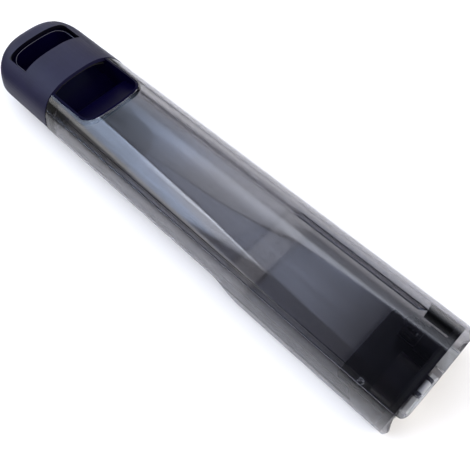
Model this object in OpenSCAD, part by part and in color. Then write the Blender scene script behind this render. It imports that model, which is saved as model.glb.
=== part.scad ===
// Clean water tank: a long smoked clear vessel with a dark carrying cap, lying on its rear face.
// X runs along the tank from the cap to the foot, Y across it, Z from the rear face up to the front.
// Inside the modules x = 0 is the joint between cap and clear shell; place() then moves the
// origin to the middle of the tank's length, on the surface that it lies on.

/* [Shell] */
// Length of the clear shell, from the cap to the end of the skirt at the foot
shell_len = 363.2; // [330:0.1:420]
// Width of the tank at its widest
tank_w = 90; // [84:1:96]
// Height of the front arch above the surface that the tank lies on
tank_h = 51.8; // [50:0.1:58]
// Exponent of the arch: 2 is an ellipse, larger is squarer
arch_n = 2.78; // [2.4:0.01:3.4]
// Height at which the arch is widest
arch_base = 5.7; // [4:0.1:8]
// Wall thickness of the clear shells
wall = 2.2; // [1.8:0.1:2.6]
// Radius of the rear corners
rear_r = 7; // [5:0.5:8]
// Height of the weld seam between the two shells
seam_z = 36; // [34:0.5:38]

/* [Deep part] */
// How far the rear face steps back in the lower, deeper part
step_h = 11; // [8:0.1:12]
// Where the step starts
step_x0 = 203; // [190:1:208]
// Where the deep part has its full depth
step_x1 = 230; // [226:1:245]

/* [Cap and grip] */
// Length of the cap
cap_len = 80.2; // [78:0.1:90]
// Wall thickness of the cap
cap_wall = 3; // [2.6:0.1:3.2]
// How far the cap stands proud of the shell
cap_proud = 0.4; // [0.2:0.1:0.8]
// Height of the cap's rear face
cap_rear = 13.5; // [12.5:0.1:14]
// Width of the grip pocket
pocket_w = 58.5; // [54:0.5:60]
// End of the grip pocket towards the foot
pocket_x = 54.9; // [48:0.1:56]
// Width of the finger slot
slot_w = 58.5; // [54:0.5:60]
// Far end of the finger slot
slot_x0 = -62.5; // [-64:0.5:-60]
// Near end of the finger slot, where the handle bridge starts
slot_x1 = -37.5; // [-40:0.5:-34]
// Height of the floor of the grip
grip_floor = 20; // [19:0.5:22]

/* [Foot] */
// Depth of the open skirt round the foot, on the front
skirt = 6.2; // [5.6:0.1:8]
// Start of the tongue plate, measured back from the base plate
tongue_len = 44; // [38:1:48]
// Radius of the fill opening
fill_r = 13.5; // [11:0.5:13.5]
// Sideways place of the fill opening
fill_y = -17; // [-18:0.5:-16]
// Sideways place of the outlet valve
valve_y = 19; // [18:0.5:20]
// Outside radius of the outlet spout
spout_r = 8.5; // [8:0.1:9]

/* [Hidden] */
$fn = 64;
total_len = cap_len + shell_len;
mid_x = (shell_len - cap_len) / 2;
half_w = tank_w / 2;
arch_h = tank_h - arch_base;
plate_x = shell_len - skirt;          // outer face of the base plate
neck = 8;                             // length of the shell's neck inside the cap
eps = 0.01;

// ---- the cross section ------------------------------------------------------------------
// Half width of the arch at height z, for a surface lying off inside the outside
function arch_y(z, off = 0) =
    z <= arch_base ? half_w - off
    : (half_w - off) * pow(max(0, 1 - pow((z - arch_base) / (arch_h - off), arch_n)), 1 / arch_n);
// Height of the arch at sideways place y
function arch_z(y, off = 0) =
    arch_base + (arch_h - off) * pow(max(0, 1 - pow(abs(y) / (half_w - off), arch_n)), 1 / arch_n);
function part_angle(zc, off) =
    zc <= arch_base ? 0 : asin(pow((zc - arch_base) / (arch_h - off), arch_n / 2));
// Closed section: the arch on top, a flat rear face at height zb, rounded rear corners.
// sy and top pull the arch in sideways and from above, for the cap's rounded end.
function section(zb, off = 0, r = rear_r, steps = 44, sy = 0, top = 0) =
    let (a = half_w - off - sy, h = arch_h - off - top, b = zb + off, rr = max(r - off, 0.8),
         zc = b + rr,
         t0 = zc <= arch_base ? 0 : asin(pow((zc - arch_base) / h, arch_n / 2)),
         yc = (zc <= arch_base ? a : a * pow(cos(t0), 2 / arch_n)) - rr)
    concat(
        [for (i = [0:steps])
            let (t = t0 + (180 - 2 * t0) * i / steps, c = cos(t), s = sin(t))
            [a * sign(c) * pow(abs(c), 2 / arch_n), arch_base + h * pow(abs(s), 2 / arch_n)]],
        [for (i = [0:5]) let (t = 180 + 18 * i) [-yc + rr * cos(t), zc + rr * sin(t)]],
        [for (i = [0:5]) let (t = 270 + 18 * i) [yc + rr * cos(t), zc + rr * sin(t)]]);

// Rear line of the shell: shallow, then a smooth step down to the deep part
function step_z(x) =
    x <= step_x0 ? step_h
    : x >= step_x1 ? 0
    : step_h * (0.5 + 0.5 * cos(180 * (x - step_x0) / (step_x1 - step_x0)));

module xprism(x0, x1, pts) {
    translate([x0, 0, 0]) rotate([90, 0, 90]) linear_extrude(x1 - x0) polygon(pts);
}
module yprism(y0, y1, pts) {
    translate([0, y1, 0]) rotate([90, 0, 0]) linear_extrude(y1 - y0) polygon(pts);
}
module zprism(z0, z1, pts) {
    translate([0, 0, z0]) linear_extrude(z1 - z0) polygon(pts);
}
module box(x0, x1, y0, y1, z0, z1) {
    translate([x0, y0, z0]) cube([x1 - x0, y1 - y0, z1 - z0]);
}
module xcyl(x0, x1, r) {
    translate([x0, 0, 0]) rotate([0, 90, 0]) cylinder(h = x1 - x0, r = r);
}
module xring(x0, x1, r1, r0) {
    difference() {
        xcyl(x0, x1, r1);
        xcyl(x0 - 1, x1 + 1, r0);
    }
}
// Moves the model to its own origin
module place() { translate([-mid_x, 0, 0]) children(); }

// Rounded rectangle in plan, corner radius rr at the x1 end and rs at the x0 end
function plan(x0, x1, w, rs, rr) = concat(
    [for (i = [0:6]) let (t = -90 + 15 * i) [x1 - rr + rr * cos(t), -w / 2 + rr + rr * sin(t)]],
    [for (i = [0:6]) let (t = 15 * i) [x1 - rr + rr * cos(t), w / 2 - rr + rr * sin(t)]],
    [for (i = [0:6]) let (t = 90 + 15 * i) [x0 + rs + rs * cos(t), w / 2 - rs + rs * sin(t)]],
    [for (i = [0:6]) let (t = 180 + 15 * i) [x0 + rs + rs * cos(t), -w / 2 + rs + rs * sin(t)]]);

// Outline of the grip in plan: corners of radius rs at the x0 end, a full curve at the x1 end
function grip_plan(x0, x1, w, rs, l = 19, n = 2.6) = concat(
    [for (i = [-12:12]) let (t = 7.5 * i)
        [x1 - l + l * pow(max(0, cos(t)), 2 / n), sign(t) * w / 2 * pow(abs(sin(t)), 2 / n)]],
    [for (i = [0:6]) let (t = 90 + 15 * i) [x0 + rs + rs * cos(t), w / 2 - rs + rs * sin(t)]],
    [for (i = [0:6]) let (t = 180 + 15 * i) [x0 + rs + rs * cos(t), -w / 2 + rs + rs * sin(t)]]);

// ---- clear shells -----------------------------------------------------------------------
// Space inside a surface lying off within the outside, between x0 and x1
module vessel(off, x0, x1) {
    xs = step_x0 - 14;                // the deep part grows out of the shallow one from here
    xprism(x0, x1, section(step_h, off));
    intersection() {
        xprism(max(x0, xs), x1, section(0, off));
        yprism(-60, 60, concat(
            [[xs, step_h + off + 7]],
            [for (i = [0:16]) let (x = step_x0 + (step_x1 - step_x0) * i / 16)
                [x, step_z(x) + off]],
            [[x1 + 1, off], [x1 + 1, 60], [xs, 60]]));
    }
}
module neck_tube(x0, x1, o0, o1) {
    difference() {
        xprism(x0, x1, section(cap_rear, o0));
        xprism(x0 - 1, x1 + 1, section(cap_rear, o1));
    }
}
// The pair of shells as one, before the seam divides them
module shell_pair() {
    difference() {
        union() {
            difference() {
                vessel(0, 0, shell_len);
                vessel(wall, 2, shell_len + 1);
                xprism(-1, 3, section(cap_rear, 5.3));
                // the fluid end of the skirt is a little wider inside
                vessel(wall - 0.5, plate_x + 0.2, shell_len + 1);
            }
            neck_tube(-neck, 1, cap_wall + 0.2, 5.3);
            // weld beads along both sides of the seam, inside
            for (s = [-1, 1])
                intersection() {
                    difference() {
                        vessel(wall - eps, 2, plate_x - 26);
                        vessel(wall + 0.5, 1, plate_x);
                    }
                    box(2, plate_x - 26, s < 0 ? -60 : 20, s < 0 ? -20 : 60, seam_z - 0.8, seam_z + 0.8);
                }
            // flange strips along both rear corners of the shallow part, which run on as ledges
            // on the side walls of the deep part
            for (s = [-1, 1])
                intersection() {
                    vessel(wall - eps, 2, plate_x - 26);
                    box(6, plate_x - 26, s < 0 ? -60 : half_w - 6.6, s < 0 ? 6.6 - half_w : 60,
                        step_h + 1, step_h + 4.4);
                }
        }
        // grip pocket opening in the front
        zprism(grip_floor + 10, 80, grip_plan(-30, pocket_x, pocket_w, 1));
        // fine groove that shows where the two shells are welded
        for (s = [-1, 1])
            translate([0, s * (arch_y(seam_z) + 0.35), seam_z])
                box(0.4, shell_len + 1, -0.8, 0.8, -0.35, 0.35);
    }
}
// Outline that the skirt is cut back to on the sides: full depth in front, less beside it
module skirt_cut(front) {
    if (front)
        for (s = [-1, 1])
            zprism(seam_z - 1, 70, [
                for (i = [0:8]) let (t = 11.25 * i)
                    [shell_len + 0.01 - (skirt - 0.8) * (1 - cos(t)), s * (34.4 + 5.2 * sin(t))],
                [shell_len - skirt + 0.8, s * 60], [shell_len + 2, s * 60],
                [shell_len + 2, s * 34.4]]);
    else
        // the side walls end in a blunt point, between the rear face and the notch at the seam
        yprism(-60, 60, [
            [shell_len - 4.2, -1], [shell_len - 4.2, 2], [shell_len - 3.6, 8],
            [shell_len - 2.3, 16], [shell_len - 2.4, 18], [shell_len - skirt + 1, seam_z - 4],
            [shell_len - skirt + 0.8, seam_z + 0.5], [shell_len + 2, seam_z + 0.5],
            [shell_len + 2, -1]]);
}
module front_shell() {
    color([0.36, 0.39, 0.46, 0.45]) place() difference() {
        union() {
            intersection() {
                shell_pair();
                box(-20, shell_len + 1, -60, 60, seam_z, 70);
            }
            // short ribs inside the skirt
            for (y = [-35, -4, 13])
                box(plate_x + 0.25, shell_len - 1, y - 0.4, y + 0.4,
                    arch_z(abs(y) + 0.4, wall) - 1, arch_z(abs(y) + 0.4, wall) + 1);
        }
        skirt_cut(true);
    }
}
module rear_shell() {
    color([0.36, 0.39, 0.46, 0.45]) place() difference() {
        union() {
            intersection() {
                shell_pair();
                box(-20, shell_len + 1, -60, 60, -1, seam_z);
            }
            // bosses under the tongue plate, and four short ribs in the skirt
            for (s = [-1, 1])
                translate([plate_x - 28.5, s * 29, wall - 0.4]) cylinder(h = 5, r = 3.5);
            for (y = [-30, -10, 10, 30])
                box(plate_x + 0.25, shell_len - 4.3, y - 0.5, y + 0.5, wall - 0.8, wall + 2);
        }
        skirt_cut(false);
        for (s = [-1, 1])
            translate([plate_x - 28.5, s * 29, 1.6]) cylinder(h = 8, r = 1.25);
    }
}

// ---- cap and grip -----------------------------------------------------------------------
// The cap's outside and inside are rings of the same section that draw in at the far end
cap_round = 24;                       // length over which the plan narrows
cap_top_r = 10;                       // rounding of the top edge
function draw_in(d, l, e) = d >= l ? 0 : l * (1 - pow(1 - pow((l - d) / l, e), 1 / e));
function cap_ring(x, off) =
    let (d = x + cap_len - off,
         sy = draw_in(max(d, 0.0), cap_round - off, 2.5) * 0.92,
         tp = draw_in(max(d, 0.0), cap_top_r - off, 2),
         rb = draw_in(max(d, 0.0), 5, 2) * 0.7)
    [for (p = section(cap_rear + rb, off - cap_proud, rear_r, 36, sy, tp)) [x, p[0], p[1]]];
function cap_stations(off, x1) = concat(
    [for (i = [0:13]) -cap_len + off + cap_round * pow(i / 13, 1.9)], [x1]);
module cap_solid(off, x1) {
    xs = cap_stations(off, x1);
    rings = [for (x = xs) cap_ring(x, off)];
    n = len(rings[0]);
    m = len(xs);
    pts = [for (r = rings) each r];
    polyhedron(points = pts, faces = concat(
        [[for (i = [0:n - 1]) i]],
        [[for (i = [n - 1:-1:0]) (m - 1) * n + i]],
        [for (k = [0:m - 2]) for (i = [0:n - 1]) let (j = (i + 1) % n)
            [k * n + i, (k + 1) * n + i, (k + 1) * n + j]],
        [for (k = [0:m - 2]) for (i = [0:n - 1]) let (j = (i + 1) % n)
            [k * n + i, (k + 1) * n + j, k * n + j]]), convexity = 6);
}
module handle_cap() {
    color([0.17, 0.18, 0.24]) place() difference() {
        cap_solid(0, 0);
        cap_solid(cap_wall, 1);
        // finger slot
        zprism(grip_floor + 8, 80, plan(slot_x0, slot_x1, slot_w, 5, 1));
        // blind holes for the bridge plate's screws
        for (s = [-1, 1])
            translate([-24, s * 16, 30]) cylinder(h = arch_z(16, 0.8) - 30, r = 1.25);
        // screw holes in the rear face
        for (s = [-1, 1])
            translate([-28, s * 36, 0]) {
                cylinder(h = 20, r = 1.7);
                translate([0, 0, cap_rear - 1]) cylinder(h = 2.5, r = 3.2);
            }
    }
}
// Side view of the grip space: floor, far wall, and the ramp up to the pocket's edge
function grip_side(off) = [
    [pocket_x + 3 - off, 60], [pocket_x - 0.3 - off, 46], [pocket_x - 3 - off, 43.4 + off * 0.5],
    [24, 34.6 + off * 0.9], [20, 31.5 + off], [15.5, 25.5 + off], [11.5, 21.8 + off],
    [6.5, grip_floor + off], [slot_x0 + 5, grip_floor + off], [slot_x0 + 1 + off, grip_floor + 2 + off],
    [slot_x0 - 2 + off, grip_floor + 7 + off], [slot_x0 - 2 + off, 60]];
module grip_space(off) {
    intersection() {
        yprism(-60, 60, grip_side(off));
        zprism(0, 80, grip_plan(slot_x0 - 2 + off, pocket_x - 0.1 - off, pocket_w - 0.2 - 2 * off,
            4, 19 - off));
    }
}
liner = 2;                            // wall of the grip liner
module grip_liner() {
    color([0.05, 0.05, 0.09]) place() difference() {
        union() {
            difference() {
                grip_space(0);
                grip_space(liner);
                // inside the clear shell the rim ends flush with the arch
                difference() {
                    box(-1, pocket_x + 5, -60, 60, 0, 80);
                    xprism(-2, pocket_x + 6, section(step_h, 0.1));
                }
                // under the cap it ends below the cap's inside
                difference() {
                    box(-90, 0, -60, 60, 0, 80);
                    xprism(-91, 0.5, section(cap_rear, cap_wall + 1.2));
                }
            }
            // bulkhead that closes the top of the shell
            difference() {
                xprism(-neck + 1, -1.2, section(cap_rear, 5.5));
                grip_space(1);
            }
            // posts for the cap's screws
            for (s = [-1, 1])
                translate([-28, s * 36, cap_rear + cap_wall + 0.4]) cylinder(h = 10.7, r = 3.4);
            for (s = [-1, 1])
                box(-28, -6, s > 0 ? pocket_w / 2 - 0.6 : -35.5, s > 0 ? 35.5 : 0.6 - pocket_w / 2,
                    cap_rear + cap_wall + 3, cap_rear + cap_wall + 6);
            // bonding flange under the edge of the clear shell, round the pocket
            intersection() {
                difference() {
                    xprism(3.2, pocket_x + 1, section(step_h, wall + 0.12));
                    xprism(2, pocket_x + 2, section(step_h, wall + 1.3));
                }
                difference() {
                    zprism(grip_floor + 10, 80, grip_plan(-30, pocket_x + 1, pocket_w + 2, 1, 20));
                    zprism(grip_floor, 81, grip_plan(-31, pocket_x - 1.1, pocket_w - 2.2, 1, 18));
                }
            }
        }
        // groove for the gasket round the bulkhead
        difference() {
            xprism(-5.6, -3.4, section(cap_rear, 4));
            xprism(-6, -3, section(cap_rear, 6.9));
        }
        for (s = [-1, 1])
            translate([-28, s * 36, cap_rear]) cylinder(h = 12.5, r = 1.25);
        // seat of the air valve
        translate([0, -32.7, 27]) xcyl(-20, 5, 1.7);
    }
}
// Stiffening plate under the handle bridge
bridge_off = cap_wall + 0.1;
module bridge_plate() {
    color([0.12, 0.13, 0.18]) place() difference() {
        intersection() {
            difference() {
                xprism(slot_x1 + 0.6, -10, section(cap_rear, bridge_off));
                xprism(slot_x1 - 1, -9, section(cap_rear, bridge_off + 2));
            }
            box(slot_x1, 0, -24, 24, 30, 70);
        }
        for (s = [-1, 1])
            translate([-24, s * 16, 30]) cylinder(h = 40, r = 1.3);
    }
}
module bridge_screws() {
    color([0.55, 0.56, 0.58]) place()
        for (s = [-1, 1])
            translate([-24, s * 16, 0]) {
                translate([0, 0, arch_z(18.6, bridge_off + 2) - 1.3]) cylinder(h = 1.25, r = 2.4);
                translate([0, 0, arch_z(18.6, bridge_off + 2) - 0.1]) cylinder(h = 4.2, r = 1.2);
            }
}
module top_gasket() {
    color([0.1, 0.1, 0.1]) place() difference() {
        xprism(-5.5, -3.5, section(cap_rear, 5.31));
        xprism(-6, -3, section(cap_rear, 6.85));
    }
}
module cap_screws() {
    color([0.55, 0.56, 0.58]) place()
        for (s = [-1, 1])
            translate([-28, s * 36, 0]) {
                translate([0, 0, cap_rear + 0.1]) cylinder(h = 1.3, r = 2.9);
                translate([0, 0, cap_rear + 0.1]) cylinder(h = 11.5, r = 1.2);
            }
}
// Small rubber air valve that lets air in as the water leaves
module vent_valve() {
    color([0.7, 0.7, 0.7]) place() translate([0, -32.7, 27]) {
        difference() {
            union() {
                xcyl(-9.4, -7.02, 2.6);
                xcyl(-7.1, 1, 1.65);
            }
            xcyl(-10, -1, 0.8);
        }
    }
}

// ---- foot -------------------------------------------------------------------------------
fill_z = 24.5;
valve_z = 20;
hinge_x = plate_x + 2.4;
hinge_z = 43.8;
module base_plug() {
    color([0.06, 0.06, 0.09]) place() difference() {
        union() {
            // plate across the end
            xprism(plate_x - 5, plate_x, section(0, wall + 0.15));
            // wing along the side wall beside the valve
            intersection() {
                difference() {
                    xprism(plate_x - 24, plate_x - 4, section(0, wall + 0.15));
                    xprism(plate_x - 25, plate_x, section(0, wall + 1.9));
                }
                box(plate_x - 24, plate_x, 30, 60, 9, 34);
            }
            // tongue plate on the rear wall, narrower beside the valve
            difference() {
                translate([0, -1.8, 0])
                    zprism(wall + 0.2, wall + 4.2, plan(plate_x - tongue_len, plate_x - 4, 65, 3, 1));
                zprism(wall, wall + 5, [[plate_x - tongue_len - 1, 60], [plate_x - tongue_len - 1, 31.2],
                    [plate_x - tongue_len + 2, 30.6], [plate_x - 3, 23.4], [plate_x - 3, 60]]);
                for (s = [-1, 1])
                    translate([plate_x - 28.5, s * 29, 0]) cylinder(h = 20, r = 3.6);
            }
            for (s = [-1, 1])
                translate([plate_x - 28.5, s * 29, wall + 0.2]) difference() {
                    cylinder(h = 5.6, r = 5.4);
                    translate([0, 0, -1]) cylinder(h = 12, r = 3.6);
                }
            // neck of the fill opening
            translate([0, fill_y, fill_z]) xcyl(plate_x - 20, plate_x - 1, fill_r + 2.5);
            // socket of the outlet valve
            translate([0, valve_y, valve_z]) xcyl(plate_x - 17, plate_x - 1, 10.4);
            // hinge ears of the lid
            for (y = [fill_y - 6, fill_y + 6])
                translate([0, y - 1.2, 0]) rotate([-90, 0, 0])
                    linear_extrude(2.4) polygon([
                        for (i = [0:12]) let (t = -90 + 15 * i)
                            [hinge_x + 2 * cos(t), -hinge_z - 2 * sin(t)],
                        [plate_x - 1, -hinge_z - 2], [plate_x - 1, -hinge_z + 2]]);
        }
        // gasket groove
        difference() {
            xprism(plate_x - 3.6, plate_x - 1.4, section(0, 0));
            xprism(plate_x - 4, plate_x - 1, section(0, wall + 1.6));
        }
        translate([0, fill_y, fill_z]) xcyl(plate_x - 30, plate_x + 5, fill_r);
        translate([0, valve_y, valve_z]) xcyl(plate_x - 30, plate_x + 5, 7.5);
        for (y = [fill_y - 6, fill_y + 6])
            translate([hinge_x, y - 2, hinge_z]) rotate([-90, 0, 0]) cylinder(h = 4, r = 1);
    }
}
module base_gasket() {
    color([0.1, 0.1, 0.1]) place() difference() {
        xprism(plate_x - 3.5, plate_x - 1.5, section(0, wall + 0.02));
        xprism(plate_x - 4, plate_x - 1, section(0, wall + 1.58));
    }
}
module base_screws() {
    color([0.75, 0.76, 0.78]) place()
        for (s = [-1, 1])
            translate([plate_x - 28.5, s * 29, 0]) difference() {
                union() {
                    translate([0, 0, 2.4]) cylinder(h = 6, r = 1.2);
                    translate([0, 0, wall + 5.85]) cylinder(h = 1, r = 4.4);
                    translate([0, 0, wall + 6.8]) cylinder(h = 1.6, r = 2.7);
                }
                // cross recess
                for (t = [0, 90])
                    rotate([0, 0, t]) box(-1.6, 1.6, -0.35, 0.35, wall + 7.2, wall + 9);
            }
}
// Lid of the fill opening, with its hinge eye in front and a finger tab towards the rear
lid_r = 17.4;
module fill_lid() {
    color([0.8, 0.8, 0.79]) place() difference() {
        union() {
            translate([0, fill_y, fill_z]) xcyl(plate_x + 1.1, plate_x + 3.5, lid_r);
            box(plate_x + 1.1, plate_x + 3.5, fill_y - 4.4, fill_y + 4.4, fill_z + 10, hinge_z);
            translate([hinge_x, fill_y - 4.4, hinge_z]) rotate([-90, 0, 0])
                cylinder(h = 8.8, r = 2);
            // raised rim and finger tab
            translate([0, fill_y, fill_z]) xring(plate_x + 3.4, plate_x + 4.3, 13, 11.6);
            box(plate_x + 1.6, plate_x + 3.5, fill_y - 5, fill_y + 5, fill_z - lid_r - 1.6, fill_z - 12);
        }
        translate([hinge_x, fill_y - 8, hinge_z]) rotate([-90, 0, 0]) cylinder(h = 16, r = 1.05);
    }
}
module lid_gasket() {
    color([0.55, 0.55, 0.58]) place() translate([0, fill_y, fill_z])
        xring(plate_x + 0.1, plate_x + 1.1, fill_r + 2.4, fill_r - 0.6);
}
module lid_pin() {
    color([0.72, 0.73, 0.75]) place() translate([hinge_x, fill_y - 7.1, hinge_z])
        rotate([-90, 0, 0]) cylinder(h = 14.2, r = 0.98);
}
// Outlet valve, all on one axis
module on_valve() { translate([0, valve_y, valve_z]) children(); }
module valve_body() {
    color([0.8, 0.8, 0.79]) place() on_valve() difference() {
        union() {
            xcyl(plate_x - 19, plate_x + 0.5, 7.45);
            xcyl(plate_x, plate_x + 6, spout_r);
        }
        xcyl(plate_x - 20, plate_x - 5, 6);
        xcyl(plate_x - 6, plate_x + 7, 4.2);
        // groove for the O-ring
        xring(plate_x - 9, plate_x - 7, 9, 6.6);
    }
}
module valve_oring() {
    color([0.12, 0.12, 0.12]) place() on_valve() xring(plate_x - 8.9, plate_x - 7.1, 7.5, 6.62);
}
module valve_poppet() {
    color([0.9, 0.9, 0.88]) place() on_valve() {
        xcyl(plate_x - 8.4, plate_x - 6.4, 5.3);
        xcyl(plate_x - 6.5, plate_x + 1.5, 1.8);
        xcyl(plate_x - 21, plate_x - 8.3, 1.4);
    }
}
module poppet_seal() {
    color([0.2, 0.2, 0.2]) place() on_valve() xring(plate_x - 6.4, plate_x - 5.1, 5.5, 1.85);
}
// Coil spring behind the poppet: a round wire along a helix with flat ends
spring_r = 4;
wire_r = 0.35;
turns = 5;
function coil(t) = [0, spring_r * cos(360 * turns * t), spring_r * sin(360 * turns * t)];
module valve_spring() {
    x0 = plate_x - 17.3 + wire_r + 0.05;
    x1 = plate_x - 8.4 - wire_r - 0.05;
    steps = turns * 14;
    pts = [for (k = [0:steps]) let (t = k / steps, c = coil(t))
        for (i = [0:5]) let (u = 60 * i, rr = spring_r + wire_r * cos(u))
            [x0 + (x1 - x0) * t + wire_r * sin(u), rr * cos(360 * turns * t), rr * sin(360 * turns * t)]];
    color([0.78, 0.78, 0.8]) place() on_valve() polyhedron(points = pts, faces = concat(
        [[5, 4, 3, 2, 1, 0]],
        [[for (i = [0:5]) steps * 6 + i]],
        [for (k = [0:steps - 1]) for (i = [0:5]) let (j = (i + 1) % 6)
            [k * 6 + i, k * 6 + j, (k + 1) * 6 + j, (k + 1) * 6 + i]]), convexity = 10);
}
module spring_retainer() {
    color([0.06, 0.06, 0.09]) place() on_valve() difference() {
        xcyl(plate_x - 18.8, plate_x - 17.3, 5.95);
        xcyl(plate_x - 20, plate_x - 16, 1.45);
        for (t = [0, 120, 240])
            rotate([t, 0, 0]) translate([0, 3.6, 0]) xcyl(plate_x - 20, plate_x - 16, 1.5);
    }
}
// Strainer basket over the valve's inner end
module inlet_strainer() {
    color([0.06, 0.06, 0.09]) place() on_valve() difference() {
        xcyl(plate_x - 30, plate_x - 17.1, 8.8);
        xcyl(plate_x - 29, plate_x - 16, 7.5);
        for (t = [0:30:150])
            rotate([t, 0, 0]) box(plate_x - 28, plate_x - 19.5, -1.1, 1.1, -12, 12);
        for (t = [0:60:300])
            rotate([t, 0, 0]) translate([0, 4.6, 0]) xcyl(plate_x - 31, plate_x - 28, 1.3);
    }
}

front_shell();
rear_shell();
handle_cap();
grip_liner();
bridge_plate();
bridge_screws();
top_gasket();
cap_screws();
vent_valve();
base_plug();
base_gasket();
base_screws();
fill_lid();
lid_gasket();
lid_pin();
valve_body();
valve_oring();
valve_poppet();
poppet_seal();
valve_spring();
spring_retainer();
inlet_strainer();
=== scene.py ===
import math

import bmesh
import bpy
from mathutils import Matrix, Vector


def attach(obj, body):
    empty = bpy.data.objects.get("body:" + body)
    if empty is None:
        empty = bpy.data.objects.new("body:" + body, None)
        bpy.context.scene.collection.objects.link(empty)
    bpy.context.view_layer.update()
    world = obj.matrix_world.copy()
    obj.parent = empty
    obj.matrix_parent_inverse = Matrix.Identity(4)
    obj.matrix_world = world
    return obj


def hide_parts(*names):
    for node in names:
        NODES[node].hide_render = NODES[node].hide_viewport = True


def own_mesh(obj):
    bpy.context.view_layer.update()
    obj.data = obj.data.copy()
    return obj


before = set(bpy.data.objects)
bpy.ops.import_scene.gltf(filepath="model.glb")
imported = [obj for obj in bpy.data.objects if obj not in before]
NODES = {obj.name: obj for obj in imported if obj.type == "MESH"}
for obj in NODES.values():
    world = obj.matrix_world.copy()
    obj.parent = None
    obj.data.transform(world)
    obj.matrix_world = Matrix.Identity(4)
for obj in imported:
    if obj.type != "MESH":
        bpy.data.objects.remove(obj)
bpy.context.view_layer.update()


# ---- node helpers -----------------------------------------------------------------------
class Expr:
    """A float or vector socket that can be added, multiplied and so on."""

    def __init__(self, tree, socket):
        self.t, self.s = tree, socket

    def _m(self, op, *args, clamp=False):
        n = self.t.nodes.new("ShaderNodeMath")
        n.operation = op
        n.use_clamp = clamp
        for i, a in enumerate((self,) + args):
            if isinstance(a, Expr):
                self.t.links.new(a.s, n.inputs[i])
            else:
                n.inputs[i].default_value = a
        return Expr(self.t, n.outputs[0])

    def __add__(self, o): return self._m("ADD", o)
    def __radd__(self, o): return self._m("ADD", o)
    def __sub__(self, o): return self._m("SUBTRACT", o)
    def __rsub__(self, o): return (self * -1.0) + o
    def __mul__(self, o): return self._m("MULTIPLY", o)
    def __rmul__(self, o): return self._m("MULTIPLY", o)
    def __truediv__(self, o): return self._m("DIVIDE", o)
    def max(self, o): return self._m("MAXIMUM", o)
    def min(self, o): return self._m("MINIMUM", o)
    def abs(self): return self._m("ABSOLUTE")
    def power(self, o): return self._m("POWER", o)

    def step(self, lo, hi):
        """Smooth step from 0 at lo to 1 at hi (lo may be above hi)."""
        n = self.t.nodes.new("ShaderNodeMapRange")
        n.interpolation_type = "SMOOTHSTEP"
        flip = lo > hi
        self.t.links.new(self.s, n.inputs["Value"])
        n.inputs["From Min"].default_value = min(lo, hi)
        n.inputs["From Max"].default_value = max(lo, hi)
        n.inputs["To Min"].default_value = 1.0 if flip else 0.0
        n.inputs["To Max"].default_value = 0.0 if flip else 1.0
        return Expr(self.t, n.outputs["Result"])

    def curve(self, points):
        """The value read off a polyline through (x, y) points, level outside it."""
        x0, x1 = points[0][0], points[-1][0]
        ys = [p[1] for p in points]
        y0, y1 = min(ys), max(ys) + 1e-6
        u = (self - x0) / (x1 - x0)
        n = self.t.nodes.new("ShaderNodeFloatCurve")
        c = n.mapping.curves[0]
        pts = [((x - x0) / (x1 - x0), (y - y0) / (y1 - y0)) for x, y in points]
        c.points[0].location, c.points[1].location = pts[0], pts[-1]
        for p in pts[1:-1]:
            c.points.new(*p)
        n.mapping.extend = "HORIZONTAL"
        n.mapping.update()
        clamped = u.max(0.0).min(1.0)
        self.t.links.new(clamped.s, n.inputs["Value"])
        return Expr(self.t, n.outputs[0]) * (y1 - y0) + y0


def mix_color(tree, fac, a, b):
    n = tree.nodes.new("ShaderNodeMix")
    n.data_type = "RGBA"
    n.clamp_factor = True
    for key, v in ((0, fac), (6, a), (7, b)):
        if isinstance(v, Expr):
            tree.links.new(v.s, n.inputs[key])
        elif hasattr(v, "is_output"):
            tree.links.new(v, n.inputs[key])
        else:
            n.inputs[key].default_value = v if key == 0 else (*v, 1.0)
    return n.outputs[2]


# ---- camera -----------------------------------------------------------------------------
rotvec = Vector((2.45780899, 0.994708452, -0.320582457))
R = Matrix.Rotation(rotvec.length, 3, rotvec.normalized())   # rows: right, down, forward
cam_data = bpy.data.cameras.new("camera")
cam_data.lens = 42.807
cam_data.sensor_width = 36.0
cam_data.clip_start, cam_data.clip_end = 0.02, 20.0
camera = bpy.data.objects.new("camera", cam_data)
bpy.context.scene.collection.objects.link(camera)
M = Matrix((R[0], -R[1], -R[2])).transposed().to_4x4()
M.translation = Vector((0.2102404, -0.1494904, 0.3814392))
camera.matrix_world = M
bpy.context.scene.camera = camera

# ---- world ------------------------------------------------------------------------------
# A bright room with a darker sector on the camera's side. A direction is described by
# a = dx/dz and b = dy/dz; the arch of the tank mirrors b across it and a along it.
world = bpy.data.worlds.new("studio")
bpy.context.scene.world = world
world.use_nodes = True
wt = world.node_tree
wt.nodes.clear()
coord = wt.nodes.new("ShaderNodeTexCoord")
sep = wt.nodes.new("ShaderNodeSeparateXYZ")
wt.links.new(coord.outputs["Generated"], sep.inputs[0])
dx, dy, dz = (Expr(wt, sep.outputs[i]) for i in range(3))
zc = dz.max(0.015)
a = dx / zc
b = dy / zc
left_leg = b - a.curve([(-1.6, 0.35), (-0.88, -0.04), (-0.78, -0.08), (-0.63, -0.19), (-0.52, -0.27),
                        (-0.42, -0.45), (-0.35, -0.55), (-0.18, -0.74), (0.6, -1.2)])
right_leg = b - a.curve([(-1.6, 0.75), (-0.88, 0.13), (-0.78, 0.05), (-0.71, 0.01), (-0.63, 0.09),
                         (-0.51, 0.22), (-0.40, 0.41), (-0.34, 0.47), (-0.02, 0.62), (0.6, 0.7)])
wedge = b - ((a + 0.39) * 2.0 - 0.63)
is_right = right_leg.step(-0.015, 0.015)
is_left = left_leg.step(0.02, -0.02)
is_wedge = wedge.step(-0.12, 0.22)
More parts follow.
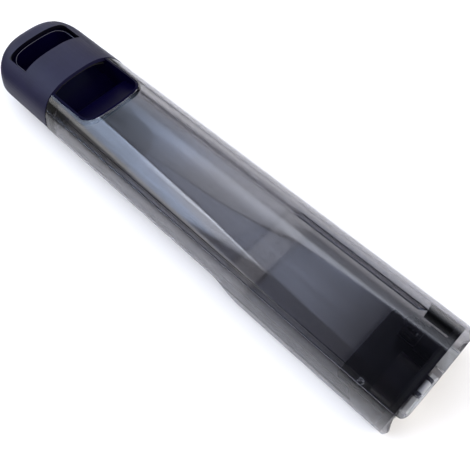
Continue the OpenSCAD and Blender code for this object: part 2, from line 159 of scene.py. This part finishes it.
right_level = b.curve([(0.0, 1.4), (0.42, 1.9), (0.56, 4.0), (0.66, 2.3), (0.76, 1.2), (0.95, 1.0),
                       (1.22, 0.3), (1.6, 0.05), (2.6, 0.15), (4.0, 0.8)]) * (a.step(-0.90, -0.66) * 0.5 + 0.5)
streak = left_leg.step(-0.24, -0.05) * left_leg.step(0.0, -0.03) * a.step(-1.0, -0.6)
ripple_n = wt.nodes.new("ShaderNodeTexNoise")
ripple_n.noise_dimensions = "2D"
ripple_n.inputs["Scale"].default_value = 1.0
ripple_n.inputs["Detail"].default_value = 3.0
ripple_v = wt.nodes.new("ShaderNodeCombineXYZ")
wt.links.new((b * 7.0).s, ripple_v.inputs[0])
wt.links.new((a * 1.6).s, ripple_v.inputs[1])
wt.links.new(ripple_v.outputs[0], ripple_n.inputs["Vector"])
folds = (Expr(wt, ripple_n.outputs["Fac"]) - 0.5) * 1.3 + 1.0
left_level = is_wedge * (streak * 4.2 + a.step(-1.3, -0.8) * 1.6 + 3.2) * folds + (1.0 - is_wedge) * 0.06
inner_level = (b.step(-0.5, 0.3) * 0.35 + 1.05) * a.step(-0.08, -0.27) * folds + 0.06
level = is_right * right_level * (folds * 0.5 + 0.5)
level = level + (1.0 - is_right) * (is_left * left_level + (1.0 - is_left) * inner_level)
# thin dark edges along both legs
near_l = (left_leg / 0.05).power(2.0)
near_r = (right_leg / 0.022).power(2.0)
line_l = (near_l + 1.0).power(-2.0) * a.step(-0.94, -0.84) * a.step(-0.28, -0.40)
line_r = (near_r + 1.0).power(-2.0) * a.step(-0.74, -0.66) * a.step(-0.2, -0.38)
level = level * (1.0 - line_l * 0.85) * (1.0 - line_r * 0.8)
# wide soft lights past both ends
centre = a.step(0.45, 0.12) * a.step(-1.6, -1.2)
ends = (1.0 - centre) * b.step(1.5, 1.0)
level = level * (1.0 - ends) + ends * 2.7
# towards the horizon everything evens out: dim on both long sides, brighter past the ends
low = dz.step(0.30, 0.02).max(a.step(-1.8, -2.8)).max(a.step(1.4, 2.4))
side = dy.step(-0.2, 0.4) * 1.55 + dx.step(0.5, 0.9) * 0.6 + dx.step(-0.6, -0.95) * 0.35
level = level * (1.0 - low) + low * (side + 0.2)
level = level * dz.step(-0.2, 0.0) + dz.step(0.0, -0.2) * 0.8
bg = wt.nodes.new("ShaderNodeBackground")
out = wt.nodes.new("ShaderNodeOutputWorld")
teal = a.step(-0.55, -0.85)
cool = ((is_right.max(is_left) * -0.5 + 0.9) * (1.0 - teal) + teal) * centre
tint = mix_color(wt, cool * (1.0 - low), (1.0, 1.0, 1.0), (0.80, 0.92, 1.24))
tint = mix_color(wt, teal * centre * (1.0 - low), tint, (0.74, 0.905, 1.22))
# seen directly, beyond the floor, the room is plain and pale
seen = Expr(wt, wt.nodes.new("ShaderNodeLightPath").outputs["Is Camera Ray"])
tint = mix_color(wt, seen, tint, (1.0, 1.0, 1.0))
level = level * (1.0 - seen) + seen * 1.15
wt.links.new(tint, bg.inputs["Color"])
wt.links.new(level.s, bg.inputs["Strength"])
wt.links.new(bg.outputs[0], out.inputs["Surface"])

scene = bpy.context.scene
scene.view_settings.view_transform = "Standard"
scene.cycles.max_bounces = 24
scene.cycles.transmission_bounces = 20
scene.cycles.transparent_max_bounces = 32
scene.cycles.glossy_bounces = 6
scene.cycles.diffuse_bounces = 3
scene.cycles.caustics_reflective = False
scene.cycles.caustics_refractive = False

# ---- floor ------------------------------------------------------------------------------
bpy.ops.mesh.primitive_plane_add(size=30.0, location=(0, 0, -0.0002))
floor = bpy.context.object
floor.name = "floor"


# ---- materials --------------------------------------------------------------------------
def material(name):
    m = bpy.data.materials.new(name)
    m.use_nodes = True
    t = m.node_tree
    t.nodes.clear()
    o = t.nodes.new("ShaderNodeOutputMaterial")
    p = t.nodes.new("ShaderNodeBsdfPrincipled")
    t.links.new(p.outputs[0], o.inputs["Surface"])
    return m, t, p, o


def noise(t, scale, detail=2.0, rough=0.5, stretch=(1, 1, 1), dist=0.0):
    c = t.nodes.new("ShaderNodeTexCoord")
    mp = t.nodes.new("ShaderNodeMapping")
    mp.inputs["Scale"].default_value = stretch
    n = t.nodes.new("ShaderNodeTexNoise")
    n.inputs["Scale"].default_value = scale
    n.inputs["Detail"].default_value = detail
    n.inputs["Roughness"].default_value = rough
    n.inputs["Distortion"].default_value = dist
    t.links.new(c.outputs["Object"], mp.inputs["Vector"])
    t.links.new(mp.outputs["Vector"], n.inputs["Vector"])
    return Expr(t, n.outputs["Fac"])


def bump(t, p, height, strength, distance):
    n = t.nodes.new("ShaderNodeBump")
    n.inputs["Strength"].default_value = strength
    n.inputs["Distance"].default_value = distance
    t.links.new(height.s, n.inputs["Height"])
    t.links.new(n.outputs["Normal"], p.inputs["Normal"])
    return n


def plastic(name, color, rough, rough_var=0.06, grain=1800.0, grain_h=0.00004, strength=0.35,
            color_var=0.12, spec=0.5, coat=0.0):
    m, t, p, o = material(name)
    big = noise(t, 38.0, 3.0, 0.55)
    fine = noise(t, grain, 2.0, 0.5)
    wear = noise(t, 240.0, 4.0, 0.6)
    c0 = tuple(c * (1 - color_var) for c in color)
    c1 = tuple(min(1, c * (1 + color_var)) for c in color)
    t.links.new(mix_color(t, big.step(0.3, 0.7), c0, c1), p.inputs["Base Color"])
    t.links.new((wear * rough_var * 2 + (rough - rough_var)).s, p.inputs["Roughness"])
    p.inputs["Specular IOR Level"].default_value = spec
    p.inputs["Coat Weight"].default_value = coat
    bump(t, p, fine + wear * 0.4, strength, grain_h)
    return m


# floor: white board with the faintest unevenness
m, t, p, o = material("floor_white")
n1 = noise(t, 2.2, 2.0)
c = t.nodes.new("ShaderNodeTexCoord")
sp = t.nodes.new("ShaderNodeSeparateXYZ")
t.links.new(c.outputs["Object"], sp.inputs[0])
path = t.nodes.new("ShaderNodeLightPath")
# painted dark reflection: for glossy rays only, the floor on the −y side and past the −x end turns almost black, so
# the tank mirrors shade there
painted_dark_reflection = Expr(t, sp.outputs[1]).step(-0.09, -0.17).max(Expr(t, sp.outputs[0]).step(-0.25, -0.30))
painted_dark_reflection = painted_dark_reflection * Expr(t, path.outputs["Is Glossy Ray"])
white = mix_color(t, n1, (0.885, 0.850, 0.810), (0.90, 0.866, 0.828))
t.links.new(mix_color(t, painted_dark_reflection * 0.85, white, (0.02, 0.02, 0.02)), p.inputs["Base Color"])
p.inputs["Roughness"].default_value = 0.9
p.inputs["Specular IOR Level"].default_value = 0.1
bump(t, p, noise(t, 900.0), 0.05, 0.0001)
floor.data.materials.append(m)


PLATE_X = 0.357 - 0.1415      # the plate of the foot, in metres in the shared frame


def smoked(name, per_wall, wall=0.0022, rough=0.008, ripple=0.02):
    """Smoked clear plastic with real thickness: per_wall is what one wall lets through."""
    m, t, p, o = material(name)
    # painted shade: the end face of the foot gets a darker base colour so that it reads as a thin dark outline
    c = t.nodes.new("ShaderNodeTexCoord")
    at_x, nx = t.nodes.new("ShaderNodeSeparateXYZ"), t.nodes.new("ShaderNodeSeparateXYZ")
    t.links.new(c.outputs["Object"], at_x.inputs[0])
    t.links.new(c.outputs["Normal"], nx.inputs[0])
    painted_rim = Expr(t, nx.outputs[0]).step(0.45, 0.75) * Expr(t, at_x.outputs[0]).step(PLATE_X + 0.003, PLATE_X + 0.004)
    t.links.new(mix_color(t, painted_rim, (0.985, 0.985, 0.985), (0.34, 0.34, 0.36)), p.inputs["Base Color"])
    p.inputs["Transmission Weight"].default_value = 1.0
    p.inputs["IOR"].default_value = 1.49
    smear = noise(t, 26.0, 3.0, 0.6, (0.22, 1, 1))
    fine = noise(t, 300.0, 3.0, 0.6, (0.15, 1, 1))
    t.links.new((smear * 0.02 + rough).s, p.inputs["Roughness"])
    bump(t, p, smear + fine * 0.01, ripple, 0.0004)
    # lamps and bounced light pass straight through, so that what is inside and below is lit
    clear = t.nodes.new("ShaderNodeBsdfTransparent")
    clear.inputs["Color"].default_value = (0.80, 0.80, 0.80, 1)
    path = t.nodes.new("ShaderNodeLightPath")
    f = Expr(t, path.outputs["Is Shadow Ray"]).max(Expr(t, path.outputs["Is Diffuse Ray"]))
    mx = t.nodes.new("ShaderNodeMixShader")
    t.links.new(f.s, mx.inputs[0])
    t.links.new(p.outputs[0], mx.inputs[1])
    t.links.new(clear.outputs[0], mx.inputs[2])
    t.links.new(mx.outputs[0], o.inputs["Surface"])
    # the plastic's own colour builds up with the length of the way through it
    sigma = [-math.log(c) / wall for c in per_wall]
    dens = max(sigma) * 1.3
    vol = t.nodes.new("ShaderNodeVolumeAbsorption")
    vol.inputs["Color"].default_value = (*[1 - s / dens for s in sigma], 1)
    vol.inputs["Density"].default_value = dens
    t.links.new(vol.outputs[0], o.inputs["Volume"])
    return m


# satin cap; the cut walls of its slot are painted near black: painted shade where the bridge keeps the light off
# them
cap_plastic = plastic("cap_satin", (0.0088, 0.0078, 0.026), 0.42, grain=2200.0, spec=0.14)
t = cap_plastic.node_tree
p = next(n for n in t.nodes if n.type == "BSDF_PRINCIPLED")
c = t.nodes.new("ShaderNodeTexCoord")
sp = t.nodes.new("ShaderNodeSeparateXYZ")
t.links.new(c.outputs["Object"], sp.inputs[0])
ox, oy = Expr(t, sp.outputs[0]) + 0.1415, Expr(t, sp.outputs[1]).abs()
# painted shade: mask over the walls of the slot
slot_painted_shade = ox.step(-0.06262, -0.06250) * ox.step(-0.03738, -0.03750) * oy.step(0.02932, 0.02925)
base = p.inputs["Base Color"].links[0].from_socket
t.links.new(mix_color(t, slot_painted_shade, base, (0.0012, 0.0010, 0.004)), p.inputs["Base Color"])

MATS = {
    "shell": smoked("smoked_clear", (0.615, 0.612, 0.632)),
    "cap": cap_plastic,
    "liner": plastic("liner_gloss", (0.0012, 0.0006, 0.011), 0.30, 0.05, grain=900.0, grain_h=0.00002,
                     strength=0.15, spec=0.02),
    # painted highlights: lighter copies of the liner for the beads on its lip and on its ramp crease
    "edge": plastic("lip_painted_highlight", (0.060, 0.060, 0.085), 0.30, 0.05, grain=1500.0, spec=0.6),
    "crease": plastic("crease_painted_highlight", (0.20, 0.20, 0.26), 0.30, 0.05, grain=1500.0, spec=0.6),
    # dark seam colour, also used as painted shade for the lap bar
    "weld": plastic("weld_line", (0.004, 0.005, 0.012), 0.40, 0.05, grain=1500.0, spec=0.15),
    "dark": plastic("dark_part", (0.006, 0.004, 0.009), 0.36, grain=1500.0, spec=0.25),
    "white": plastic("pale_part", (0.46, 0.465, 0.47), 0.35, grain=1500.0, color_var=0.03),
    "gasket": plastic("gasket_rubber", (0.014, 0.014, 0.015), 0.62, grain=3000.0, spec=0.3),
    "seal": plastic("pale_rubber", (0.42, 0.42, 0.43), 0.55, grain=3000.0),
}


def metal(name, color, rough):
    m, t, p, o = material(name)
    p.inputs["Metallic"].default_value = 1.0
    scratch = noise(t, 1200.0, 3.0, 0.6, (1, 0.1, 1))
    t.links.new(mix_color(t, scratch, tuple(c * 0.85 for c in color), color), p.inputs["Base Color"])
    t.links.new((scratch * 0.15 + rough).s, p.inputs["Roughness"])
    bump(t, p, scratch, 0.2, 0.00003)
    return m


MATS["screw"] = metal("screw_steel", (0.70, 0.70, 0.71), 0.22)
# dark machined heads with a thin bright metal ring painted round the rim: a painted highlight for the light the
# edge catches
m, t, p, o = material("screw_painted_ring")
c = t.nodes.new("ShaderNodeTexCoord")
sp = t.nodes.new("ShaderNodeSeparateXYZ")
t.links.new(c.outputs["Object"], sp.inputs[0])
ox = Expr(t, sp.outputs[0]) - (PLATE_X - 0.0285)
oy = Expr(t, sp.outputs[1]).abs() - 0.029
rad = (ox * ox + oy * oy).power(0.5)
# painted highlight: bright ring on the head's rim
painted_rim = rad.step(0.00185, 0.00200) * rad.step(0.00245, 0.00230)
turned = noise(t, 900.0, 2.0, 0.5)
t.links.new(mix_color(t, painted_rim, (0.012, 0.011, 0.016), (0.85, 0.85, 0.86)), p.inputs["Base Color"])
t.links.new((turned * 0.1 + 0.3).s, p.inputs["Roughness"])
t.links.new(painted_rim.s, p.inputs["Metallic"])
bump(t, p, turned + painted_rim, 0.2, 0.00004)
MATS["screw_painted_ring"] = m
MATS["spring"] = metal("spring_steel", (0.74, 0.74, 0.76), 0.18)

# ---- shape of the tank, in mm, x from the joint of cap and shell ---------------------------
MID = 141.5
HALF, BASE, RISE, EXP = 45.0, 5.7, 46.1, 2.78
WALL, SEAM, CORNER = 2.2, 36.0, 7.0
LEN, SKIRT = 363.2, 6.2
PLATE = LEN - SKIRT
STEP_H, STEP_A, STEP_B = 11.0, 203.0, 230.0
CAP_REAR, CAP_WALL = 13.5, 3.0


def arch_y(z, off=0.0):
    if z <= BASE:
        return HALF - off
    return (HALF - off) * max(0.0, 1 - ((z - BASE) / (RISE - off)) ** EXP) ** (1 / EXP)


def arch_z(y, off=0.0):
    return BASE + (RISE - off) * max(0.0, 1 - (abs(y) / (HALF - off)) ** EXP) ** (1 / EXP)


def rear_z(x):
    if x <= STEP_A:
        return STEP_H
    if x >= STEP_B:
        return 0.0
    return STEP_H * (0.5 + 0.5 * math.cos(math.pi * (x - STEP_A) / (STEP_B - STEP_A)))


def even(line, count):
    """count + 1 points evenly spaced along a dense polyline."""
    run = [0.0]
    for p, q in zip(line, line[1:]):
        run.append(run[-1] + math.dist(p, q))
    res, k = [], 0
    for i in range(count + 1):
        s = run[-1] * i / count
        while k < len(run) - 2 and run[k + 1] < s:
            k += 1
        f = (s - run[k]) / max(run[k + 1] - run[k], 1e-12)
        res.append(tuple(p + (q - p) * f for p, q in zip(line[k], line[k + 1])))
    return res


def arch_line(z0, off, count):
    """Half arch on the +y side, from height z0 to the top."""
    w, h = HALF - off, RISE - off
    t0 = math.asin(((z0 - BASE) / h) ** (EXP / 2))
    dense = []
    for i in range(801):
        t = t0 + (math.pi / 2 - t0) * i / 800
        dense.append((w * max(0.0, math.cos(t)) ** (2 / EXP), BASE + h * math.sin(t) ** (2 / EXP)))
    return even(dense, count)


def wall_y(z, off, zb):
    """Half width of the whole section at height z, rounded rear corners included."""
    r = max(CORNER - off, 0.8)
    zc_ = zb + off + r
    if z >= zc_:
        return arch_y(z, off)
    return arch_y(zc_, off) - r + math.sqrt(max(0.0, r * r - (zc_ - z) ** 2))


LIP_OUT = [(0.0, 1.0), (0.12, 1.0), (0.26, 0.0)]      # height from the seam, share of the push
LIP_IN = [(0.0, 1.0), (0.45, 1.0), (0.8, 0.0)]
FLANGE_Y, FLANGE_Z0, FLANGE_Z1 = 38.4, 12.0, 15.4


def section(off, zb, push=0.0, flange=False):
    """Closed line round the tank, from the seam on +y over the top and back under it."""
    lip = LIP_OUT if off < 1 else LIP_IN
    up = [(arch_y(SEAM + d, off) - push * k, SEAM + d) for d, k in lip]
    up += arch_line(SEAM + lip[-1][0] + 0.02, off, 76)
    down = [(arch_y(SEAM - d, off) - push * k, SEAM - d) for d, k in lip[1:]]
    r = max(CORNER - off, 0.8)
    bottom = zb + off
    top = SEAM - lip[-1][0] - 0.02
    hi, lo = FLANGE_Z1, max(FLANGE_Z0, bottom)
    for i in range(16):
        z = top + (hi - top) * i / 16
        down.append((wall_y(z, off, zb), z))
    down.append((wall_y(hi, off, zb), hi))
    w = wall_y(lo, off, zb)
    if flange:
        down += [(FLANGE_Y + 0.3, hi), (FLANGE_Y + 0.09, hi - 0.09)]
        down += [(FLANGE_Y, hi - 0.3 + (lo + 0.6 - hi) * i / 7) for i in range(8)]
        down += [(FLANGE_Y + 0.09, lo + 0.09), (min(FLANGE_Y + 0.3, w + 0.2), lo)]
    else:
        for i in range(1, 13):
            z = hi + (lo - hi) * i / 13
            down.append((wall_y(z, off, zb), z))
    down.append((w, lo))
    zc_ = bottom + r
    rest = []
    for i in range(40):
        z = lo + (zc_ - lo) * i / 40
        if z > zc_:
            rest.append((wall_y(z, off, zb), z))
    u0 = math.asin(min(1.0, max(0.0, (zc_ - lo) / r)))
    yc = arch_y(zc_, off) - r
    for i in range(41):
        u = u0 + (math.pi / 2 - u0) * i / 40
        rest.append((yc + r * math.cos(u), zc_ - r * math.sin(u)))
    down += even([(w, lo)] + rest, 14)[1:]
    down += [(yc * k / 3, bottom) for k in (2, 1, 0)]
    return up + [(-y, z) for y, z in up[-2::-1]] + [(-y, z) for y, z in down] + down[-2::-1]


def front_end(y):
    """x of the skirt's end on the front, pulled back from the full depth at the sides."""
    y = abs(y)
    if y <= 34.4:
        return LEN
    if y >= 39.6:
        return LEN - SKIRT + 0.8
    return LEN - (SKIRT - 0.8) * (1 - math.sqrt(1 - ((y - 34.4) / 5.2) ** 2))


def rear_end(z):
    pts = [(-1, 4.2), (2, 4.2), (8, 3.6), (16, 2.3), (18, 2.4), (SEAM - 4, SKIRT - 1), (SEAM + 1, SKIRT - 0.8)]
    for (z0, d0), (z1, d1) in zip(pts, pts[1:]):
        if z <= z1:
            return LEN - (d0 + (d1 - d0) * (z - z0) / (z1 - z0))
    return LEN - pts[-1][1]


def mesh_object(name, verts, faces, body, shift=True, sharp=28.0):
    """Mesh in mm turned into an object in the shared frame, smooth except at sharp edges."""
    me = bpy.data.meshes.new(name)
    dx_ = MID if shift else 0.0
    me.from_pydata([((x - dx_) * 0.001, y * 0.001, z * 0.001) for x, y, z in verts], [], faces)
    ob = bpy.data.objects.new(name, me)
    bpy.context.scene.collection.objects.link(ob)
    tidy(me, sharp)
    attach(ob, body)
    return ob


def tidy(me, sharp=28.0):
    bm = bmesh.new()
    bm.from_mesh(me)
    bmesh.ops.remove_doubles(bm, verts=bm.verts, dist=1e-7)
    bmesh.ops.recalc_face_normals(bm, faces=bm.faces)
    if bm.calc_volume(signed=True) < 0:
        bmesh.ops.reverse_faces(bm, faces=bm.faces)
    lim = math.radians(sharp)
    for f in bm.faces:
        f.smooth = True
    for e in bm.edges:
        e.smooth = len(e.link_faces) == 2 and e.calc_face_angle(0.0) < lim
    bm.to_mesh(me)
    bm.free()


def loft(rings, verts, faces):
    """Closed loop of closed rings, skinned into one surface."""
    n, m, o_ = len(rings[0]), len(rings), len(verts)
    for r in rings:
        assert len(r) == n
        verts.extend(r)
    for k in range(m):
        k2 = (k + 1) % m
        for i in range(n):
            j = (i + 1) % n
            faces.append([o_ + k * n + i, o_ + k2 * n + i, o_ + k2 * n + j, o_ + k * n + j])


def cuboid(x0, x1, y0, y1, z0, z1, verts, faces):
    o_ = len(verts)
    verts += [(x, y, z) for x in (x0, x1) for y in (y0, y1) for z in (z0, z1)]
    for f in ((0, 1, 3, 2), (4, 6, 7, 5), (0, 4, 5, 1), (2, 3, 7, 6), (0, 2, 6, 4), (1, 5, 7, 3)):
        faces.append([o_ + i for i in f])


def rounded_plan(x0, x1, w, r0, r1, n=12):
    """Outline in plan, corner radius r0 at x0 and r1 at x1."""
    res = []
    for sx, cx, r, t0 in ((1, x1 - r1, r1, -90), (1, x1 - r1, r1, 0), (0, x0 + r0, r0, 90), (0, x0 + r0, r0, 180)):
        cy = (w / 2 - r) * (1 if t0 in (0, 90) else -1)
        for i in range(n + 1):
            u = math.radians(t0 + 90 * i / n)
            res.append((cx + r * math.cos(u), cy + r * math.sin(u)))
    return res


def prism(outline, z0, z1, verts, faces):
    o_, n = len(verts), len(outline)
    verts += [(x, y, z0) for x, y in outline] + [(x, y, z1) for x, y in outline]
    faces.append([o_ + i for i in reversed(range(n))])
    faces.append([o_ + n + i for i in range(n)])
    for i in range(n):
        j = (i + 1) % n
        faces.append([o_ + i, o_ + j, o_ + n + j, o_ + n + i])


def cut(ob, verts, faces, operation="DIFFERENCE", sharp=28.0):
    """Boolean with a tool that is then thrown away; the result is applied."""
    me = bpy.data.meshes.new("tool")
    me.from_pydata([((x - MID) * 0.001, y * 0.001, z * 0.001) for x, y, z in verts], [], faces)
    bm = bmesh.new()
    bm.from_mesh(me)
    bmesh.ops.recalc_face_normals(bm, faces=bm.faces)
    bm.to_mesh(me)
    bm.free()
    tool = bpy.data.objects.new("tool", me)
    bpy.context.scene.collection.objects.link(tool)
    md = ob.modifiers.new("cut", "BOOLEAN")
    md.operation = operation
    md.solver = "EXACT"
    md.object = tool
    bpy.context.view_layer.update()
    dg = bpy.context.evaluated_depsgraph_get()
    done = bpy.data.meshes.new_from_object(ob.evaluated_get(dg))
    ob.modifiers.clear()
    old = ob.data
    done.name = old.name + "_cut"
    ob.data = done
    bpy.data.meshes.remove(old)
    bpy.data.objects.remove(tool)
    bpy.data.meshes.remove(me)
    tidy(ob.data, sharp)


def grip_plan(x0, x1, w, rs, l=19.0, e=2.6):
    """Outline of the grip in plan: small corners at x0, a full curve at x1."""
    res = []
    for i in range(-48, 49):
        u = math.radians(90 * i / 48)
        res.append((x1 - l + l * max(0.0, math.cos(u)) ** (2 / e),
                    math.copysign(w / 2 * abs(math.sin(u)) ** (2 / e), u)))
    for t0, sy in ((90, 1), (180, -1)):
        for i in range(9):
            u = math.radians(t0 + 90 * i / 8)
            res.append((x0 + rs + rs * math.cos(u), sy * (w / 2 - rs) + rs * math.sin(u)))
    return res


# ---- the clear tank: both shells as the one welded piece that they are -----------------------
GROOVE, BEAD = 0.22, 0.4
loop = []


def at(x, off, zb=None, push=0.0, flange=False):
    loop.append([(x, y, z) for y, z in section(off, rear_z(x) if zb is None else zb, push, flange)])


def end_ring(off, pull, push=0.0):
    ring = []
    for y, z in section(off, 0.0, push):
        x = front_end(y) if z >= SEAM - 0.01 else rear_end(z)
        ring.append((x - pull, y, z))
    loop.append(ring)


at(-8, CAP_WALL + 0.5, CAP_REAR)
at(-7.7, CAP_WALL + 0.2, CAP_REAR)
at(0, CAP_WALL + 0.2, CAP_REAR)
at(0, 0.25)
at(0.07, 0.07)
at(0.25, 0.0)
at(0.6, 0.0)
at(0.9, 0.0, push=GROOVE)
xs = [60, 130, 190] + [STEP_A + (STEP_B - STEP_A) * i / 24 for i in range(25)] + [280, PLATE + 0.3]
for x in xs:
    at(x, 0.0, push=GROOVE)
end_ring(0.0, 0.45, GROOVE)
end_ring(0.03, 0.28, GROOVE)
end_ring(0.13, 0.13, GROOVE)
end_ring(0.28, 0.03, GROOVE)
end_ring(0.45, 0.0, GROOVE)
end_ring(1.3, 0.0)
end_ring(1.5, 0.06)
end_ring(1.6, 0.2)
end_ring(1.7, 0.5)
at(PLATE + 0.2, 1.7)
at(PLATE + 0.18, WALL)
f0, f1 = 12.0, PLATE - 26
at(f1, WALL)
at(f1 - 5, WALL, push=BEAD, flange=True)
for x in reversed(xs):
    if f0 + 2 < x < f1 - 6:
        at(x, WALL, push=BEAD, flange=True)
at(f0 + 0.01, WALL, push=BEAD, flange=True)
at(f0, WALL, push=BEAD)
at(8, 2.6, 11.4, push=BEAD)
at(5, 3.5, 12.1, push=BEAD)
at(3, 4.5, 12.9)
at(2, 5.3, CAP_REAR)
at(-8, 5.3, CAP_REAR)

v, f = [], []
loft(loop, v, f)
clear = mesh_object("clear_tank", v, f, "tank")
v, f = [], []
prism(grip_plan(-30, 54.9, 58.5, 1), 30, 80, v, f)
cut(clear, v, f)
for y in (-35, -4, 13):
    v, f = [], []
    top = arch_z(abs(y) + 0.4, WALL)
    cuboid(PLATE + 0.25, LEN - 1, y - 0.4, y + 0.4, top - 1, top + 1, v, f)
    cut(clear, v, f, "UNION")
for s in (-1, 1):
    circle = [(PLATE - 28.5 + 3.5 * math.cos(2 * math.pi * i / 48), s * 29 + 3.5 * math.sin(2 * math.pi * i / 48))
              for i in range(48)]
    v, f = [], []
    prism(circle, WALL - 0.4, WALL + 4.6, v, f)
    cut(clear, v, f, "UNION")
for y in (-30, -10, 10, 30):
    v, f = [], []
    cuboid(PLATE + 0.25, LEN - 4.3, y - 0.5, y + 0.5, WALL - 0.8, WALL + 2, v, f)
    cut(clear, v, f, "UNION")
for s in (-1, 1):
    circle = [(PLATE - 28.5 + 1.25 * math.cos(2 * math.pi * i / 32), s * 29 + 1.25 * math.sin(2 * math.pi * i / 32))
              for i in range(32)]
    v, f = [], []
    prism(circle, 1.6, 9.6, v, f)
    cut(clear, v, f)
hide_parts("front_shell", "rear_shell")



def bar(points, r, name, body, mat, sides=10, flat=1.0):
    """Closed bead along a line of points in mm; flat stretches it in its second direction."""
    verts, faces = [], []
    n = len(points)
    for i, q in enumerate(points):
        q0, q1 = Vector(points[max(i - 1, 0)]), Vector(points[min(i + 1, n - 1)])
        d = (q1 - q0).normalized()
        u = d.cross(Vector((0, 0, 1)) if abs(d.z) < 0.9 else Vector((1, 0, 0))).normalized()
        w = d.cross(u)
        verts += [tuple(Vector(q) + (u * math.cos(k * math.tau / sides) + w * (flat * math.sin(k * math.tau / sides))) * r)
                  for k in range(sides)]
    for i in range(n - 1):
        for k in range(sides):
            k2 = (k + 1) % sides
            faces.append([i * sides + k, i * sides + k2, (i + 1) * sides + k2, (i + 1) * sides + k])
    faces.append(list(range(sides))[::-1])
    faces.append([(n - 1) * sides + k for k in range(sides)])
    ob = mesh_object(name, verts, faces, body)
    ob.data.materials.append(mat)
    return ob


# dark welded seam line in the groove on both sides, drawn wider on the −y side as painted shade; and a dark bar
# along the joint's inner lap on that side only, painted shade where light doesn't fall through it
for s, side in ((-1, "left"), (1, "right")):
    y0 = arch_y(SEAM) - GROOVE - 0.14
    line = [(0.8 + (LEN - SKIRT - 0.4) * i / 40, s * y0, SEAM) for i in range(41)]
    seam_width_with_shade = (0.32, 1.9) if s < 0 else (0.16, 1.0)
    bar(line, seam_width_with_shade[0], "weld_line_" + side, "tank", MATS["weld"], 12, seam_width_with_shade[1])
# painted shade: a dark bar along the inner lap, on the −y side only
y1 = arch_y(SEAM + 2.1, WALL) + 0.12
line = [(10.0 + (PLATE - 16) * i / 40, -y1, SEAM + 2.1) for i in range(41)]
bar(line, 0.26, "lap_painted_shade", "tank", MATS["weld"], 12, 1.7)

# cover of the plug's wing along the side wall, from the end of the flange strip to the plate
w0, w1, z0, z1 = PLATE - 25.6, PLATE - 4.2, 5.0, 34.3
outline = [(wall_y(z0 + (z1 - z0) * i / 30, WALL + 0.08, 0.0), z0 + (z1 - z0) * i / 30) for i in range(31)]
outline += [(wall_y(z0 + (z1 - z0) * i / 30, WALL + 2.0, 0.0), z0 + (z1 - z0) * i / 30) for i in range(30, -1, -1)]
n = len(outline)
verts = [(x, y, z) for x in (w0, w0 + 0.3, w1) for y, z in outline]
mid = sum(y for y, z in outline) / n
verts[:n] = [(x, y + (0.25 if y < mid else -0.05), z) for x, y, z in verts[:n]]
faces = [list(range(n))[::-1], [2 * n + i for i in range(n)]]
for k in (0, 1):
    for i in range(n):
        j = (i + 1) % n
        faces.append([k * n + i, k * n + j, (k + 1) * n + j, (k + 1) * n + i])
wing = mesh_object("wing_cover", verts, faces, "tank")
wing.data.materials.append(MATS["dark"])

# beads on the liner's real lip round the slot and on the real crease of its ramp, coloured lighter than the liner:
# painted highlights
plan = [(-38.0, -27.2)]
for x0, y0, t0 in ((-54.3, -19.2, 270), (-54.3, 19.2, 180)):
    for i in range(13):
        u = math.radians(t0 - 90 * i / 12)
        plan.append((x0 + 8.0 * math.cos(u), y0 + 8.0 * math.sin(u)))
plan.append((-38.0, 27.2))
painted_rim = [(x, y, arch_z(abs(y), 4.2) + 0.08) for x, y in even(plan, 60)]
bar(painted_rim, 0.26, "lip_highlight_bead", "tank", MATS["edge"])
crease = [(24.0, y, 34.78) for y in [-26.6 + 53.2 * i / 24 for i in range(25)]]
bar(crease, 0.26, "crease_highlight_bead", "tank", MATS["crease"], 8)

# spring of the outlet: a round wire with closed end turns
S0, S1, COIL_R, WIRE, TURNS = PLATE - 17.3, PLATE - 8.4, 4.0, 0.35, 6.0
first, last = S0 + WIRE + 0.05, S1 - WIRE - 0.05
closed = 0.8 * 0.74
verts, faces, sides, steps = [], [], 12, int(TURNS * 36)
for k in range(steps + 1):
    n = TURNS * k / steps
    if n < 0.8:
        x = first + 0.74 * n
    elif n > TURNS - 0.8:
        x = last - 0.74 * (TURNS - n)
    else:
        x = first + closed + (last - first - 2 * closed) * (n - 0.8) / (TURNS - 1.6)
    u = math.tau * n
    for i in range(sides):
        w = math.tau * i / sides
        r = COIL_R + WIRE * math.cos(w)
        verts.append((x + WIRE * math.sin(w), 19.0 + r * math.cos(u), 20.0 + r * math.sin(u)))
for k in range(steps):
    for i in range(sides):
        j = (i + 1) % sides
        faces.append([k * sides + i, k * sides + j, (k + 1) * sides + j, (k + 1) * sides + i])
faces.append(list(range(sides))[::-1])
faces.append([steps * sides + i for i in range(sides)])
coil = mesh_object("outlet_spring", verts, faces, "tank", sharp=40.0)
coil.data.materials.append(MATS["spring"])
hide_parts("valve_spring")
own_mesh(coil)

USE = {
    "handle_cap": "cap", "grip_liner": "liner",
    "bridge_plate": "dark", "bridge_screws": "screw", "top_gasket": "gasket", "cap_screws": "screw",
    "vent_valve": "seal", "base_plug": "dark", "base_gasket": "gasket", "base_screws": "screw_painted_ring",
    "fill_lid": "white", "lid_gasket": "seal", "lid_pin": "screw", "valve_body": "white",
    "valve_oring": "gasket", "valve_poppet": "white", "poppet_seal": "gasket",
    "valve_spring": "spring", "spring_retainer": "dark", "inlet_strainer": "dark",
    "front_shell": "shell", "rear_shell": "shell",
}
for name, ob in NODES.items():
    ob.data.materials.clear()
    ob.data.materials.append(MATS[USE[name]])
clear.data.materials.clear()
clear.data.materials.append(MATS["shell"])
